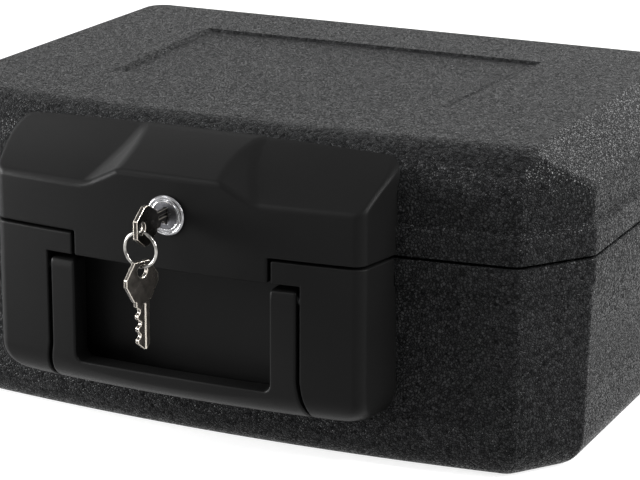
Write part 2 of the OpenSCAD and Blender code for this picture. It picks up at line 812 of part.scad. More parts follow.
// Outer shell of the lid with the hinges' upper knuckles
module lid_shell() {
    color([0.10, 0.10, 0.11]) {
        difference() {
            lid_form(0, body_h, true, lid_bottom);
            lid_form(shell_wall, body_h - shell_wall, false, lid_bottom - 1);
            translate([0, panel_back, body_h - panel_sink]) linear_extrude(5) round_rect(panel_w, panel_d, panel_round);
            for (p = lid_screws) wall_screw_bore(p[0], p[1]);
        }
        for (s = [-1, 1]) translate([s * hinge_x, 0, 0]) knuckle(knuckle_lid_w, 1, hinge_pin_r + running);
    }
}

// Cast fill of the lid
module lid_insulation() {
    color([0.72, 0.70, 0.66]) difference() {
        lid_form(shell_wall + fill_gap, body_h - shell_wall - fill_gap, false, lid_bottom + liner_wall + fill_gap);
        lid_tub(fill_gap);
        for (p = lid_screws) wall_screw_room(p[0], p[1]);
    }
}

// Inner tray of the lid with its flange and the groove for the ridge
module lid_liner() {
    color([0.13, 0.13, 0.14]) difference() {
        union() {
            intersection() {
                lid_tub(0);
                translate([-far / 2, -far / 2, lid_bottom]) cube([far, far, far]);
            }
            difference() {
                lid_form(shell_wall + fill_gap, body_h - shell_wall - fill_gap, false, lid_bottom);
                translate([-far / 2, -far / 2, lid_bottom + liner_wall]) cube([far, far, far]);
            }
        }
        translate([0, 0, lid_bottom - 1]) linear_extrude(ceiling_z - lid_bottom + 1) cavity_outline(0);
        translate([0, 0, lid_bottom - 1]) linear_extrude(groove_h + 1) ridge_outline(ridge_play);
    }
}

// Front fascia of the lid with its visor and the tongue between the columns
module lid_fascia() {
    color([0.07, 0.07, 0.08]) difference() {
        union() {
            difference() {
                lid_fascia_form(0);
                lid_fascia_form(fascia_wall);
                translate([-tongue_half - 1, face_y + 10, tongue_z - 1])
                    cube([2 * tongue_half + 2, far / 4, lid_bottom - tongue_z + 1]);
            }
            intersection() {
                lid_fascia_form(0);
                for (p = lid_screws) wall_screw_boss(p[0], p[1]);
            }
        }
        lid_form(-seam, body_h + seam, true, lid_bottom - 1);
        on_lock() cylinder(r = barrel_r + seated, h = 2 * barrel_l, center = true);
        for (p = lid_screws) wall_screw_bore(p[0], p[1]);
    }
}

// Screws that hold the lid's fascia
module lid_fascia_screws() {
    color([0.55, 0.56, 0.58]) for (p = lid_screws) wall_screw(p[0], p[1]);
}

// Lock's barrel with its front ring
module lock_housing() {
    bore = plug_r + running;
    dish = bezel_t - 0.6;
    color([0.75, 0.76, 0.78]) on_lock() rotate_extrude()
        polygon([[bore, -dish], [bore + 0.3, -bezel_t], [bore + 0.8, -bezel_t], [bore + 1.2, -dish],
                 [bezel_r - 1.5, -dish], [bezel_r - 1.1, -bezel_t], [bezel_r - 0.6, -bezel_t],
                 [bezel_r, -dish], [bezel_r, -touch], [barrel_r, -touch], [barrel_r, barrel_l],
                 [bore, barrel_l]]);
}

// Nut that clamps the lock in the fascia
module lock_nut() {
    color([0.70, 0.71, 0.72]) on_lock() translate([0, 0, fascia_wall + 0.14]) difference() {
        cylinder(r = nut_w / 2 / cos(30), h = nut_t, $fn = 6);
        translate([0, 0, -1]) cylinder(r = barrel_r + seated, h = nut_t + 2);
    }
}

// Turning plug with its keyway, the slots for its wafers and its flatted stud
module lock_plug() {
    color([0.75, 0.76, 0.78]) on_lock() difference() {
        union() {
            translate([0, 0, -plug_front]) cylinder(r = plug_r, h = barrel_l + plug_front);
            translate([0, 0, barrel_l - 1]) linear_extrude(cam_y - barrel_l + cam_t + 0.9) intersection() {
                circle(stud_r);
                square([stud_flat, 20], center = true);
            }
        }
        translate([-(key_t + 0.5) / 2, -(blade_w + 0.5) / 2, -5])
            cube([key_t + 0.5, blade_w + 0.5, keyway_end + 5]);
        for (i = [0:4]) translate([-(wafer_w + 0.1) / 2, -(wafer_h + 0.1) / 2, 1 + i * wafer_step])
            cube([wafer_w + 0.1, wafer_h + 0.1, 1.2]);
        translate([0, 0, keyway_end + 0.5]) cylinder(r = 1.5 + seated, h = 10);
    }
}

// Wafers of the lock
module lock_wafers() {
    color([0.78, 0.62, 0.32]) on_lock() for (i = [0:4]) translate([0, 0, 1.1 + i * wafer_step])
        linear_extrude(1) difference() {
            square([wafer_w, wafer_h], center = true);
            square([key_t + 0.6, blade_w + 0.6], center = true);
        }
}

// Hooked cam behind the lock, shown turned aside
module lock_cam() {
    color([0.62, 0.63, 0.65]) on_lock() translate([0, 0, cam_y]) {
        linear_extrude(cam_t) difference() {
            union() {
                circle(9);
                intersection() {
                    circle(cam_r, $fn = 128);
                    polygon([[0, 0], [60 * cos(25), 60 * sin(25)], [60 * cos(25), -60 * sin(20)]]);
                }
            }
            intersection() {
                difference() {
                    circle(hook_r + slot_half, $fn = 128);
                    circle(hook_r - slot_half, $fn = 128);
                }
                polygon([[0, 0], [60, 60], [60 * cos(7.5), -60 * sin(7.5)]]);
            }
            intersection() {
                circle(stud_r + 0.05);
                square([stud_flat + 0.1, 20], center = true);
            }
        }
    }
}

// Screw that holds the cam on the plug
module cam_screw() {
    color([0.55, 0.56, 0.58]) on_lock() {
        translate([0, 0, cam_y + cam_t + touch]) cylinder(r = 5, h = 1.6);
        translate([0, 0, keyway_end + 0.6]) cylinder(r = 1.5, h = cam_y + cam_t - keyway_end);
    }
}

// Key in the lock
module key() {
    color([0.80, 0.80, 0.78]) translate([0, face_y - key_out, lock_z]) rotate([90, 0, 90]) key_body();
}

// Split ring through the bows of both keys
module key_ring() {
    color([0.80, 0.80, 0.82]) translate([0, ring_y, ring_z]) rotate([90, 0, 0])
        rotate_extrude($fn = 96) translate([ring_r, 0]) circle(ring_wire / 2, $fn = 32);
}

// Second key, hanging from the ring
module spare_key() {
    color([0.80, 0.80, 0.78]) translate([0, ring_y, spare_hole_z - bow_l + bow_hole_in])
        rotate([0, 0, -spare_turn]) rotate([0, 90, 0]) key_body();
}

base_shell();
base_insulation();
base_liner();
base_fascia();
base_fascia_screws();
strike_plate();
strike_screws();
hinge_pins();
handle_pins();
carry_handle();
lid_shell();
lid_insulation();
lid_liner();
lid_fascia();
lid_fascia_screws();
lock_housing();
lock_nut();
lock_plug();
lock_wafers();
lock_cam();
cam_screw();
key();
key_ring();
spare_key();
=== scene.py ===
import json
import math
import bpy
import numpy as np
from mathutils import Matrix, Vector


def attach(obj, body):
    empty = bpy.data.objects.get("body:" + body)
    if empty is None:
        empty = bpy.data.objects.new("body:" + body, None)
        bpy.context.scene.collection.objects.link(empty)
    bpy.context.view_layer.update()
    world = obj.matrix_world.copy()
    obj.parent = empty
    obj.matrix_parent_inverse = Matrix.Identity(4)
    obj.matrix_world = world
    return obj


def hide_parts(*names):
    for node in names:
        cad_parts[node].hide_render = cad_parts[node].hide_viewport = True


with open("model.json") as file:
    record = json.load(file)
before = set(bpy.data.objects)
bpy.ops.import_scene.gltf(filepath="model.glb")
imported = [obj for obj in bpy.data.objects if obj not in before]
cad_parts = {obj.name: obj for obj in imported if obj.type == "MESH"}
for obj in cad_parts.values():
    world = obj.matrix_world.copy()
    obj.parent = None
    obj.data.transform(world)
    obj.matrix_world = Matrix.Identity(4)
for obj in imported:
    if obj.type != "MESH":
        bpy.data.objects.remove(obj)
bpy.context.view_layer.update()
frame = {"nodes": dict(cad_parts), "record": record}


scene = bpy.context.scene
scene.view_settings.view_transform = "Standard"

# camera, fitted to the corners of the chest in the photograph
SENSOR, LENS = 36.0, 142.47
CAMERA_AT = (0.5364, -1.1343, 0.4348)
AZIMUTH, ELEVATION, ROLL = (math.radians(v) for v in (25.296, 16.465, 0.242))
NEAREST, FARTHEST = 0.05, 50.0


def add_camera():
    data = bpy.data.cameras.new("camera")
    data.sensor_width = SENSOR
    data.sensor_fit = "HORIZONTAL"
    data.lens = LENS
    data.clip_start = NEAREST
    data.clip_end = FARTHEST
    camera = bpy.data.objects.new("camera", data)
    scene.collection.objects.link(camera)
    level = math.cos(ELEVATION)
    back = Vector((math.sin(AZIMUTH) * level, -math.cos(AZIMUTH) * level, math.sin(ELEVATION)))
    right = Vector((math.cos(AZIMUTH), math.sin(AZIMUTH), 0))
    up = back.cross(right)
    rolled_right = right * math.cos(ROLL) + up * math.sin(ROLL)
    rolled_up = up * math.cos(ROLL) - right * math.sin(ROLL)
    place = Matrix((rolled_right, rolled_up, back)).transposed().to_4x4()
    place.translation = Vector(CAMERA_AT)
    camera.matrix_world = place
    scene.camera = camera


add_camera()


# node helpers
def new_mat(name):
    mat = bpy.data.materials.new(name)
    mat.use_nodes = True
    nt = mat.node_tree
    nt.nodes.clear()
    out = nt.nodes.new("ShaderNodeOutputMaterial")
    bsdf = nt.nodes.new("ShaderNodeBsdfPrincipled")
    nt.links.new(bsdf.outputs["BSDF"], out.inputs["Surface"])
    return mat, nt, bsdf


def feed(nt, value, socket):
    """Links value to the socket, or sets the socket where value is plain."""
    if isinstance(value, bpy.types.NodeSocket):
        nt.links.new(value, socket)
    else:
        socket.default_value = value


def node(nt, kind, settings=None, **inputs):
    """New node with its settings and inputs."""
    made = nt.nodes.new(kind)
    for key, value in (settings or {}).items():
        setattr(made, key, value)
    for key, value in inputs.items():
        feed(nt, value, made.inputs[key])
    return made


def combined(nt, operation, *terms):
    """Result of a math node on the terms."""
    made = node(nt, "ShaderNodeMath", {"operation": operation})
    for socket, term in zip(made.inputs, terms):
        feed(nt, term, socket)
    return made.outputs[0]


def mixed(nt, kind, share, first, second):
    """Colour of the first with a share of the second mixed in by the kind of blend."""
    made = node(nt, "ShaderNodeMixRGB", {"blend_type": kind}, Fac=share, Color1=first, Color2=second)
    return made.outputs["Color"]


def ramp(nt, source, low, high, first, last):
    """Goes from first at low to last at high, each a colour or a grey."""
    made = node(nt, "ShaderNodeValToRGB", Fac=source)
    for stop, position, tone in zip(made.color_ramp.elements, (low, high), (first, last)):
        stop.position = position
        stop.color = (*tone, 1) if isinstance(tone, tuple) else (tone, tone, tone, 1)
    return made.outputs["Color"]


def coords(nt):
    return node(nt, "ShaderNodeNewGeometry").outputs["Position"]


def noise(nt, scale, detail, rough, vector):
    made = node(nt, "ShaderNodeTexNoise", Scale=scale, Detail=detail, Roughness=rough, Vector=vector)
    return made.outputs["Fac"]


def bumped(nt, bsdf, height, strength, distance, **normal):
    """Gives the surface the relief of height, on top of its own or the given normal."""
    bump = node(nt, "ShaderNodeBump", Strength=strength, Distance=distance, Height=height, **normal)
    feed(nt, bump.outputs["Normal"], bsdf.inputs["Normal"])


def times(color, factor):
    return tuple(v * factor for v in color)


def grained(name, color, rough, gloss, depth, pebble, valley):
    """Moulding of flat pebbles, each of its own tone and gloss, with less glossy valleys painted darker as
    shade, on a slight swell.
    """
    warp_scale, warp_reach = 420.0, 0.0016
    swell_scale, swell_height = 210.0, 2.0
    least_gloss, most_gloss = 0.3, 1.9
    least_tone, most_tone = 0.45, 1.6
    valley_gloss, pebble_gloss = 0.3, 1.15
    # the valleys' tone is painted shade, darker than the pebbles
    valley_painted_shade, pebble_tone = 0.45, 1.1
    valley_rough = rough + 0.3
    mat, nt, bsdf = new_mat(name)
    pos = coords(nt)
    warp = node(nt, "ShaderNodeTexNoise", Scale=warp_scale, Detail=2.0, Vector=pos)
    warped = mixed(nt, "ADD", warp_reach, pos, warp.outputs["Color"])
    edges = node(nt, "ShaderNodeTexVoronoi", {"feature": "DISTANCE_TO_EDGE"}, Scale=1 / pebble, Vector=warped)
    tiles = node(nt, "ShaderNodeTexVoronoi", Scale=1 / pebble, Vector=warped)
    flat = node(nt, "ShaderNodeMapRange", {"interpolation_type": "SMOOTHSTEP"},
                **{"Value": edges.outputs["Distance"], "From Max": valley}).outputs["Result"]
    swell = noise(nt, swell_scale, 3.0, 0.7, pos)
    bumped(nt, bsdf, combined(nt, "MULTIPLY_ADD", swell, swell_height, flat), 1.0, depth)
    chance = node(nt, "ShaderNodeSeparateColor", Color=tiles.outputs["Color"])
    gloss_range = {"To Min": gloss * least_gloss, "To Max": gloss * most_gloss}
    own_gloss = node(nt, "ShaderNodeMapRange", Value=chance.outputs["Red"], **gloss_range).outputs["Result"]
    held_gloss = combined(nt, "MULTIPLY", own_gloss, ramp(nt, flat, 0.0, 1.0, valley_gloss, pebble_gloss))
    feed(nt, held_gloss, bsdf.inputs["Specular IOR Level"])
    own_tone = ramp(nt, chance.outputs["Green"], 0.0, 1.0, times(color, least_tone), times(color, most_tone))
    # the valleys between the pebbles are painted darker: painted shade in the grain
    tone_with_painted_shade = mixed(nt, "MULTIPLY", 1.0, own_tone, ramp(nt, flat, 0.0, 1.0, valley_painted_shade, pebble_tone))
    feed(nt, tone_with_painted_shade, bsdf.inputs["Base Color"])
    feed(nt, ramp(nt, flat, 0.0, 1.0, valley_rough, rough), bsdf.inputs["Roughness"])
    return mat


def satin(name, color, rough, gloss):
    """Smooth satin moulding with a fine tooth and a broad, faint change of tone."""
    fine_scale, broad_scale = 3800.0, 14.0
    tooth, tooth_depth = 0.3, 0.0002
    tone_change, rough_change = 0.08, 0.03
    low, high = 0.3, 0.7
    mat, nt, bsdf = new_mat(name)
    pos = coords(nt)
    bumped(nt, bsdf, noise(nt, fine_scale, 2.0, 0.6, pos), tooth, tooth_depth)
    broad = noise(nt, broad_scale, 3.0, 0.5, pos)
    tone = ramp(nt, broad, low, high, times(color, 1 - tone_change), times(color, 1 + tone_change))
    feed(nt, tone, bsdf.inputs["Base Color"])
    own_rough = ramp(nt, broad, low, high, rough - rough_change, rough + rough_change)
    feed(nt, own_rough, bsdf.inputs["Roughness"])
    feed(nt, gloss, bsdf.inputs["Specular IOR Level"])
    return mat


def metal(name, color, rough, grain=900.0, tarnish_and_reflection=0.8, edge=None, soft=0.0003):
    """Metal whose faces have a fine mottle, darker as tarnish and as painted reflection, and whose edges,
    soft metres wide, are painted towards the colour edge as a highlight.
    """
    full_edge_highlight, no_edge_highlight = 0.80, 0.99
    scratch, scratch_depth = 0.15, 0.0001
    low, high, dull = 0.35, 0.65, 0.08
    mat, nt, bsdf = new_mat(name)
    fine = noise(nt, grain, 3.0, 0.6, coords(nt))
    rounded = node(nt, "ShaderNodeBevel", {"samples": 6}, Radius=soft).outputs["Normal"]
    bumped(nt, bsdf, fine, scratch, scratch_depth, Normal=rounded)
    # faces mottled darker: tarnish, and painted reflection of varied surroundings
    face = ramp(nt, fine, low, high, times(color, tarnish_and_reflection), color)
    turn = node(nt, "ShaderNodeVectorMath", {"operation": "DOT_PRODUCT"})
    feed(nt, rounded, turn.inputs[0])
    feed(nt, node(nt, "ShaderNodeNewGeometry").outputs["Normal"], turn.inputs[1])
    # edges painted towards the colour edge: a painted highlight
    edge_highlight = ramp(nt, turn.outputs["Value"], full_edge_highlight, no_edge_highlight, 1.0, 0.0)
    feed(nt, mixed(nt, "MIX", edge_highlight, face, (*(edge or color), 1)), bsdf.inputs["Base Color"])
    feed(nt, ramp(nt, fine, low, high, rough + dull, rough), bsdf.inputs["Roughness"])
    feed(nt, 1.0, bsdf.inputs["Metallic"])
    return mat


def cast(name, color):
    """Cast mineral fill between the shells and the liners."""
    grain, pit, pit_depth = 300.0, 0.5, 0.0008
    low, high, dark, rough = 0.3, 0.7, 0.8, 0.9
    mat, nt, bsdf = new_mat(name)
    rubble = noise(nt, grain, 6.0, 0.65, coords(nt))
    bumped(nt, bsdf, rubble, pit, pit_depth)
    feed(nt, ramp(nt, rubble, low, high, times(color, dark), color), bsdf.inputs["Base Color"])
    feed(nt, rough, bsdf.inputs["Roughness"])
    return mat


MATS = {
    "shell": grained("shell_grain", (0.0105, 0.0108, 0.0112), 0.22, 0.066,
                     depth=0.0002, pebble=1 / 740, valley=0.28),
    "liner": satin("liner_plastic", (0.030, 0.030, 0.032), 0.6, 0.3),
    "fascia": satin("fascia_satin", (0.0048, 0.0048, 0.0048), 0.35, 0.044),
    "handle": satin("handle_satin", (0.0048, 0.0048, 0.0048), 0.35, 0.052),
    "fill": cast("cast_fill", (0.52, 0.50, 0.46)),
    "steel": metal("zinc_steel", (0.56, 0.57, 0.58), 0.35),
    # light edge colours of the lock and key are painted highlights, and their strong mottles, with the
    # ring's, are painted reflection
    "lock_chrome": metal("lock_chrome", (0.24, 0.24, 0.25), 0.16, grain=500.0, edge=(0.85, 0.85, 0.85)),
    "lock_steel": metal("lock_steel", (0.12, 0.12, 0.13), 0.26, grain=400.0, tarnish_and_reflection=0.5,
                        edge=(0.6, 0.6, 0.6)),
    "wafer_brass": metal("wafer_brass", (0.62, 0.46, 0.22), 0.3),
    "key_nickel": metal("key_nickel", (0.055, 0.05, 0.045), 0.26, grain=260.0, tarnish_and_reflection=0.4,
                        edge=(0.95, 0.88, 0.78), soft=0.0007),
    "ring_chrome": metal("ring_chrome", (0.36, 0.35, 0.33), 0.16, grain=220.0, tarnish_and_reflection=0.3),
}

# each solid from the CAD gets the material of its slot
for part in frame["record"]["subparts"]:
    cad_object = frame["nodes"][part["node"]]
    cad_object.data.materials.clear()
    cad_object.data.materials.append(MATS[part["material_slot"]])

# the shells, in millimetres: half width, half depth, bow of the front and legs of the corner facets
HALF_W, HALF_D, BOW, FACET_X, FACET_Y = 181.5, 125.0, 11.0, 24.0, 33.0
TOP = 155.0
# height of the parting plane, gap between the rims and height of each rim band
PARTING, GAP, RIM = 104.0, 1.2, 14.5
# how far the rim bands stand out, how far the base's wall leans in, and the height of its rounded foot
STEP, DRAFT, FOOT = 1.2, 2.6, 14.0
# how much further in the lid's wall stands just above its band
LEDGE_SOFT = 0.7
# radius of the upright corners, and how far the ends of a slope are eased
CORNER, EASE = 4.5, 0.35
BASE_TOP, LID_LOW = PARTING - GAP / 2, PARTING + GAP / 2
BASE_LEDGE, LID_LEDGE = PARTING - RIM, PARTING + RIM
# the bowed front's half width, its radius and the y of its centre
BOW_HALF = HALF_W - FACET_X
BOW_R = (BOW_HALF * BOW_HALF + BOW * BOW) / (2 * BOW)
BOW_Y = -HALF_D - BOW + BOW_R
# the facets' normal in plan, and their distance from the middle
FACET_TURN = math.atan2(FACET_X, FACET_Y)
FACET_N = (math.cos(FACET_TURN), math.sin(FACET_TURN))
FACET_AT = HALF_W * FACET_N[0] + (HALF_D - FACET_Y) * FACET_N[1]


def crossing(n1, d1, n2, d2):
    """Point where the lines n1.p = d1 and n2.p = d2 meet."""
    det = n1[0] * n2[1] - n1[1] * n2[0]
    return ((d1 * n2[1] - d2 * n1[1]) / det, (n1[0] * d2 - n2[0] * d1) / det)


def on_bow(n, d, r):
    """Front point where the line n.p = d meets the bow of radius r."""
    px, py = n[0] * d, n[1] * d - BOW_Y
    tx, ty = -n[1], n[0]
    b = px * tx + py * ty
    c = px * px + py * py - r * r
    root = math.sqrt(max(b * b - c, 0))
    return min(((px + t * tx, py + t * ty + BOW_Y) for t in (-b + root, -b - root)), key=lambda p: p[1])


def fan(p, start, end, radius, steps=6):
    """Arc of points round p."""
    turns = [start + (end - start) * i / steps for i in range(steps + 1)]
    return [(p[0] + radius * math.cos(a), p[1] + radius * math.sin(a)) for a in turns]


def outline(front, back, side, facet, corner, side_corner):
    """Ring of points round the chest, with the front, back, side and facet walls moved in by their insets.

    The radius of the corners is corner, and side_corner between facet and side where there is room.
    """
    bow_steps, back_steps = 40, 12
    front_n, back_n = (FACET_N[0], -FACET_N[1]), FACET_N
    side_n, rear_n = (1.0, 0.0), (0.0, 1.0)
    facet_end = crossing(front_n, FACET_AT - facet, side_n, HALF_W - side)
    facet_depth = facet_end[1] - on_bow(front_n, FACET_AT - facet, BOW_R - front)[1]
    side_corner = max(corner, min(side_corner, facet_depth - corner))
    bow_r = BOW_R - front - corner
    rear_d, facet_d = HALF_D - back - corner, FACET_AT - facet - corner
    side_d, side_facet_d = HALF_W - side - side_corner, FACET_AT - facet - side_corner
    # the middles of the roundings, from the front to the back
    p1 = on_bow(front_n, facet_d, bow_r)
    p2 = crossing(front_n, side_facet_d, side_n, side_d)
    if p2[1] < p1[1] or p1[0] > p2[0]:
        p1 = p2 = on_bow(side_n, side_d, bow_r)
    p3 = crossing(side_n, side_d, back_n, side_facet_d)
    p4 = crossing(back_n, facet_d, rear_n, rear_d)
    if p4[0] > side_d or p3[1] > rear_d:
        p3 = p4 = (side_d, rear_d)
    bow_end = math.atan2(p1[1] - BOW_Y, p1[0])
    front_turn, back_turn = math.atan2(front_n[1], front_n[0]), math.atan2(back_n[1], back_n[0])
    right_side = fan(p1, bow_end, front_turn, corner) + fan(p2, front_turn, 0.0, side_corner)
    right_side += fan(p3, 0.0, back_turn, side_corner) + fan(p4, back_turn, math.pi / 2, corner)
    left_side = [(-x, y) for x, y in reversed(right_side)]
    bow = fan((0, BOW_Y), -math.pi - bow_end, bow_end, BOW_R - front, bow_steps)[1:-1]
    end_x, rear_y = right_side[-1]
    rear = [(end_x - 2 * end_x * i / back_steps, rear_y) for i in range(1, back_steps)]
    return bow + right_side + rear + left_side


def ring_at(z, insets, corner=CORNER, side_corner=None):
    """Outline at the height z, with one inset for all walls, or one for the front, back, sides and facets."""
    if not isinstance(insets, tuple):
        insets = (insets,) * 4
    return [(x, y, z) for x, y in outline(*insets, corner, side_corner or corner)]


def mesh_object(name, verts, faces):
    """Object in the scene with smooth faces."""
    mesh = bpy.data.meshes.new(name)
    mesh.from_pydata(verts, [], faces)
    mesh.polygons.foreach_set("use_smooth", [True] * len(mesh.polygons))
    made = bpy.data.objects.new(name, mesh)
    scene.collection.objects.link(made)
    return made


def mesh_from_rings(name, rings, closed_first, closed_last):
    """Surface through rings of points in millimetres."""
    crease = math.radians(38)
    n = len(rings[0])
    verts = [tuple(v / 1000 for v in point) for ring in rings for point in ring]
    faces = []
    for low in range(0, (len(rings) - 1) * n, n):
        high = low + n
        faces += [(low + i, low + (i + 1) % n, high + (i + 1) % n, high + i) for i in range(n)]
    if closed_first:
        faces.append(tuple(reversed(range(n))))
    if closed_last:
        faces.append(tuple(range((len(rings) - 1) * n, len(rings) * n)))
    made = mesh_object(name, verts, faces)
    made.data.validate()
    made.data.set_sharp_from_angle(angle=crease)
    return made


def arc_in(z, start, rise, run, half_turn):
    """Inset at z of an arc that starts at start, leans in by run over rise and turns by twice half_turn."""
    half_turn = math.radians(half_turn)
    r = math.hypot(rise, run) / (2 * math.sin(half_turn))
    lean = math.atan2(run, rise) - half_turn
    h = z - start
    return r * math.cos(lean) - math.sqrt(max(r * r - (h + r * math.sin(lean)) ** 2, 0)) if h > 0 else 0.0


# a rim's edge and its turn inwards: depth into the rim and inset, from the outer wall in
RIM_EDGE = ((0.9, 0.0), (0.35, 0.12), (0.1, 0.38), (0.0, 0.9),
            (0.0, STEP + 2.4), (0.3, STEP + 2.9), (6.0, STEP + 3.0))
INSIDE_CORNER = CORNER - 1.0


def rim_rings(edge, into):
    """Rings of a rim with its edge at the height edge. It lies below that for into -1 and above it for 1."""
    return [ring_at(edge + into * depth, inset, INSIDE_CORNER if inset > STEP + 1 else CORNER)
            for depth, inset in RIM_EDGE]


def base_inset(z):
    """Inset of the base's wall at the height z, below its rim band."""
    foot_run, foot_half_turn = 0.85 * FOOT, 30
    inset = STEP + DRAFT * max(0.0, 1 - max(z, FOOT) / BASE_LEDGE)
    return inset + (arc_in(FOOT - z, 0.0, FOOT, foot_run, foot_half_turn) if z < FOOT else 0.0)


def base_shell():
    """Base's outer moulding, from its closed bottom up to the rim and a little way in."""
    foot_steps, foot_corner = 14, 2.5
    wall_low, wall_high, wall_rings = FOOT + 6, BASE_LEDGE - 1.0, 9
    rings = []
    for i in range(foot_steps + 1):
        z = FOOT * (1 - math.cos(math.pi / 2 * i / foot_steps)) if i else 0.0
        rings.append(ring_at(z, base_inset(z), CORNER + foot_corner * (1 - i / foot_steps)))
    for z in np.linspace(wall_low, wall_high, wall_rings):
        rings.append(ring_at(z, base_inset(z)))
    # the slope under the rim band, with both its ends eased
    under = BASE_LEDGE
    band = BASE_LEDGE + STEP
    for z, inset in ((under - EASE, STEP), (under, STEP - 0.08), (under + EASE, STEP - EASE),
                     (band - EASE, EASE), (band, 0.08), (band + EASE, 0.0)):
        rings.append(ring_at(z, inset))
    rings += rim_rings(BASE_TOP, -1)
    return mesh_from_rings("shell_base", rings, True, False)


# how the lid's walls lean in to its top: rise, run and half turn of the front, back, sides and facets
LEANS = ((22.5, 22.5, 44.2), (16, 16, 44.2), (19, 25, 4.8), (22.5, 9, 21.5))
# height where the front begins to lean in
WALL_TOP = TOP - LEANS[0][0]


def lid_insets(z):
    """Insets of the lid's front, back, sides and facets at the height z, above its rim band."""
    slope_over = 10
    wall = STEP + LEDGE_SOFT * min(max((WALL_TOP - z) / slope_over, 0.0), 1.0)
    return tuple(wall + arc_in(z, TOP - rise, rise, run, half_turn) for rise, run, half_turn in LEANS)


def side_corner_at(z):
    """Radius of the corner between facet and side, which grows over the shoulder."""
    growth, grow_from, grow_over = 11, 124, 14
    return CORNER + growth * min(max((z - grow_from) / grow_over, 0.0), 1.0) ** 2


def rounded_rect_like(ring, w, d, mid_y, radius):
    """One point on a rounded rectangle for each point of the ring, by direction."""
    points = []
    for x, y in ring:
        m = max(abs(x / (w / 2)), abs((y - mid_y) / (d / 2)), 1e-9)
        px, py = x / m, (y - mid_y) / m
        past_x, past_y = abs(px) - (w / 2 - radius), abs(py) - (d / 2 - radius)
        if past_x > 0 and past_y > 0:
            k = radius / math.hypot(past_x, past_y)
            px = math.copysign(w / 2 - radius + past_x * k, px)
            py = math.copysign(d / 2 - radius + past_y * k, py)
        points.append((px, py + mid_y))
    return points


# the sunken frame on the lid's top: width, depth from front to back, y of its middle and corner radius
FRAME_W, FRAME_D, FRAME_Y, FRAME_CORNER = 234.0, 112.0, 5.0, 18.0
# its edge: how far outside that size, how deep, and how deep the small groove at its front foot
FRAME_EDGE = ((2.0, 0, 0), (1.2, 0, 0), (0.9, 0.08, 0), (0.6, 0.28, 0), (-0.45, 1.08, 0.1),
              (-0.75, 1.26, 0.4), (-1.1, 1.3, 0.7), (-1.8, 1.3, 0.7), (-2.1, 1.3, 0.1), (-2.7, 1.3, 0),
              (-4.0, 1.3, 0))


def frame_rings(ring):
    """Rings from the ring of points on the lid's top into its sunken frame."""
    groove_end, fade = FRAME_Y - FRAME_D / 2 + 9, 6
    rings = []
    for out, deep, groove in FRAME_EDGE:
        points = rounded_rect_like(ring, FRAME_W + 2 * out, FRAME_D + 2 * out, FRAME_Y, FRAME_CORNER + out)
        rings.append([(x, y, TOP - deep - groove * min(max((groove_end - y) / fade, 0.0), 1.0))
                      for x, y in points])
    return rings


def lid_shell():
    """Lid's outer moulding, from inside its rim up over the shoulders to the sunken frame."""
    wall_heights = (122, 126, 130, 132.4, 134, 135.2, 136.2)
    shoulder_steps, shoulder_corner, top_margin = 24, 6.0, 1.2
    rings = rim_rings(LID_LOW, 1)[::-1]
    # the slope on top of the rim band, softer at its upper end
    band = LID_LEDGE - STEP
    for z, inset in ((band - EASE, 0.0), (band, 0.08), (band + EASE, 0.3), (band + 3 * EASE, 0.95),
                     (LID_LEDGE + EASE, 1.35), (LID_LEDGE + 2 * EASE, 1.68), (LID_LEDGE + 3 * EASE, 1.82),
                     (LID_LEDGE + 5 * EASE, STEP + LEDGE_SOFT)):
        rings.append(ring_at(z, inset))
    for z in wall_heights:
        rings.append(ring_at(z, lid_insets(z), CORNER, side_corner_at(z)))
    for i in range(1, shoulder_steps + 1):
        t = i / shoulder_steps
        z = wall_heights[-1] + (TOP - wall_heights[-1]) * math.sin(math.pi / 2 * t)
        rings.append(ring_at(z, lid_insets(z), CORNER + shoulder_corner * t * t, side_corner_at(z)))
    flat = tuple(inset + top_margin for inset in lid_insets(TOP))
    rings.append(ring_at(TOP, flat, CORNER + shoulder_corner, side_corner_at(TOP)))
    rings += frame_rings([(x, y) for x, y, z in rings[-1]])
    return mesh_from_rings("shell_lid", rings, False, True)


def prism(name, points, x0, x1):
    """Solid between x0 and x1 whose side view is points of (y, z), in millimetres."""
    crease, bevel_from, bevel_width = math.radians(30), math.radians(50), 0.0004
    n = len(points)
    verts = [(x / 1000, y / 1000, z / 1000) for x in (x0, x1) for y, z in points]
    faces = [tuple(range(n)), tuple(reversed(range(n, 2 * n)))]
    faces += [(i, i + n, (i + 1) % n + n, (i + 1) % n) for i in range(n)]
    made = mesh_object(name, verts, faces)
    made.data.set_sharp_from_angle(angle=crease)
    edges = made.modifiers.new("edges", "BEVEL")
    edges.width = bevel_width
    edges.segments = 2
    edges.limit_method = "ANGLE"
    edges.angle_limit = bevel_from
    return made


# hinges: distance from the middle, distance of the axis behind the wall and radius of the knuckles
HINGE_X, HINGE_BACK, KNUCKLE_R = 95, 6.4, 6.0
# width of the lid's knuckle, width of the base's two knuckles and their distance from it
LID_KNUCKLE, BASE_KNUCKLE, KNUCKLE_SPACING = 24, 14, 19.4


def knuckle(name, x, width, up):
    """Hinge knuckle about x with its gusset on the wall, of the lid where up is 1 and of the base for -1."""
    steps, sweep = 32, 1.25 * math.pi
    wall = HALF_D - STEP - 1
    start = math.pi - up * math.asin(GAP / 2 / KNUCKLE_R)
    round_part = fan((HALF_D + HINGE_BACK, PARTING), start, start + up * sweep, KNUCKLE_R, steps)
    points = [(wall, PARTING + up * GAP / 2)] + round_part + [(wall, PARTING + up * (RIM - 1))]
    if up > 0:
        points.reverse()
    return prism(name, points, x - width / 2, x + width / 2)


